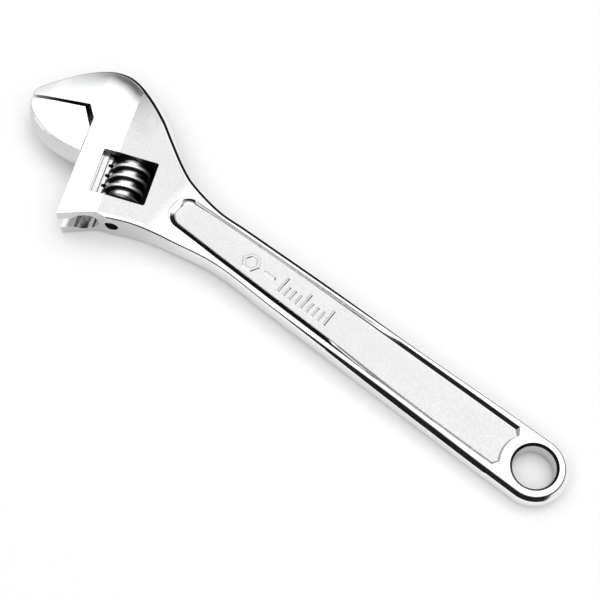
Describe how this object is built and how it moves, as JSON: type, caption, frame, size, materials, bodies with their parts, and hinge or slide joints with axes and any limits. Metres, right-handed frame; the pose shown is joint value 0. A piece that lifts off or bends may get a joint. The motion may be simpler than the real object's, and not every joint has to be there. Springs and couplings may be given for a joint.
{
  "type": "adjustable wrench",
  "caption": "chrome adjustable wrench with an angled head, a movable jaw driven by a worm in a window, a recessed flat handle and a hang ring",
  "frame": {"origin": "centre of the bounding box in X and Y, lowest point of the head in Z", "axes": "+X runs along the handle from the head to the hang ring, +Z is across the thickness so the tool lies flat, +Y is on the fixed jaw's side"},
  "size_m": [0.3046, 0.079, 0.0192],
  "materials": {
    "body": "polished rims and head, satin handle recess",
    "movable_jaw": "polished",
    "worm": "machined and knurled",
    "worm_pin": "dark machined steel",
    "worm_spring": "plain spring wire"
  },
  "bodies": {
    "body": {"body": "body", "worm_pin": "worm_pin", "worm_spring": "worm_spring"},
    "jaw": {"movable_jaw": "movable_jaw"},
    "worm": {"worm": "worm"}
  },
  "joints": [
    {"name": "jaw_slide", "type": "slide", "parent": "body", "child": "jaw", "axis": [0.3827, -0.9239, 0], "range_m": [-0.0014, 0.0323]},
    {"name": "worm_spin", "type": "hinge", "parent": "body", "child": "worm", "pos_m": [-0.0868, -0.0061, 0.0096], "axis": [0.3827, -0.9239, 0], "range_deg": [-2195, 96]}
  ],
  "couplings": [
    {"joint": "worm_spin", "follows": "jaw_slide", "rad_per_m": -1185.5}
  ]
}
